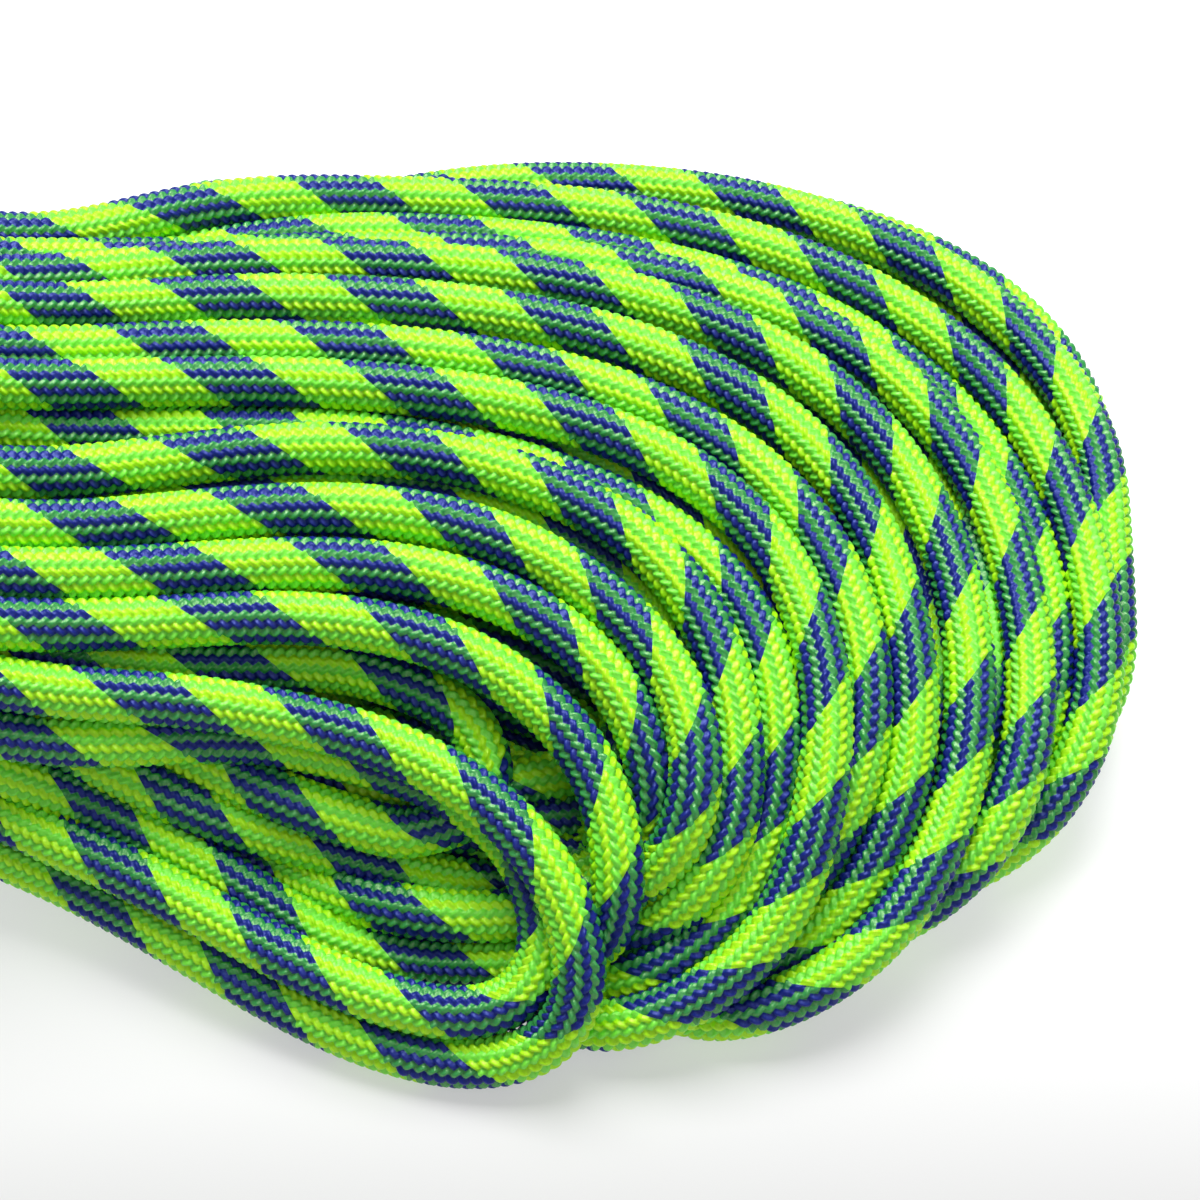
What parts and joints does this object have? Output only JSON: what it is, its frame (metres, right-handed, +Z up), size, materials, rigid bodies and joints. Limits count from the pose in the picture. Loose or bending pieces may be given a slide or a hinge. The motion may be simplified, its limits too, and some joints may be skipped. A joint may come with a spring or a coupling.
{
  "type": "utility cord hank",
  "caption": "Hank of soft braided kernmantle utility cord in lime, green and blue, wound lengthwise, tied with its own wraps.",
  "frame": {"origin": "on the floor under the middle of the hank, at the centre of the wraps along its length", "axes": "+X along the hank towards the end with no loose cord ends, +Y across it, +Z up"},
  "size_m": [0.239, 0.086, 0.044],
  "materials": {
    "braided_sheath": "satin braided nylon, lime and green with blue patches",
    "core_yarn": "satin twisted nylon",
    "melted_nylon": "melted and rounded nylon"
  },
  "bodies": {
    "root": {"hank_turns": "braided_sheath", "waist_wraps": "braided_sheath", "start_tail_sheath": "braided_sheath", "start_tail_core_strand_1": "core_yarn", "start_tail_core_strand_2": "core_yarn", "start_tail_core_strand_3": "core_yarn", "start_tail_core_strand_4": "core_yarn", "start_tail_core_strand_5": "core_yarn", "start_tail_core_strand_6": "core_yarn", "start_tail_core_strand_7": "core_yarn", "start_tail_melted_tip": "melted_nylon", "end_tail_sheath": "braided_sheath", "end_tail_core_strand_1": "core_yarn", "end_tail_core_strand_2": "core_yarn", "end_tail_core_strand_3": "core_yarn", "end_tail_core_strand_4": "core_yarn", "end_tail_core_strand_5": "core_yarn", "end_tail_core_strand_6": "core_yarn", "end_tail_core_strand_7": "core_yarn", "end_tail_melted_tip": "melted_nylon"}
  },
  "joints": []
}
